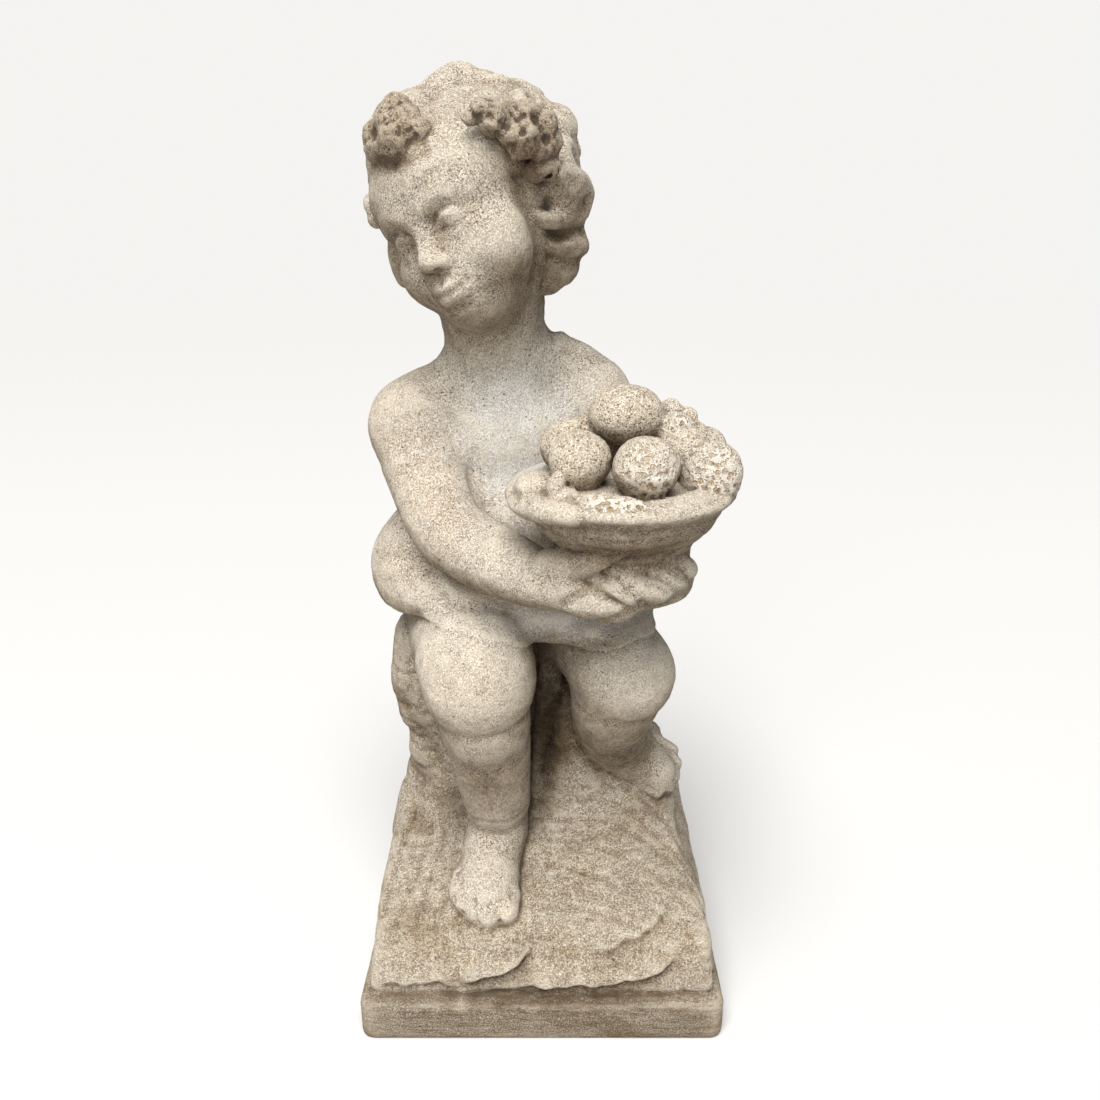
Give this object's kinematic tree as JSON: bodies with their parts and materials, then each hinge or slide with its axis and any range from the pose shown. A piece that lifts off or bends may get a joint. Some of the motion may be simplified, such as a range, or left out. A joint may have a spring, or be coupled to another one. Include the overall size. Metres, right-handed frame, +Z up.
{
  "type": "cherub garden statue",
  "caption": "Garden statue of a seated cherub in a short tunic who holds a basket of fruit, on a rocky mound and a square plinth that stands flat.",
  "frame": {"origin": "centre of the plinth's underside, on the surface it stands on", "axes": "+Z up, the plinth's front faces -Y, +X is to the right seen from the front"},
  "size_m": [0.255, 0.2785, 0.6358],
  "materials": {
    "cast_stone": "weathered, matt and lightly pitted"
  },
  "bodies": {
    "root": {"cherub_statue": "cast_stone"}
  },
  "joints": []
}
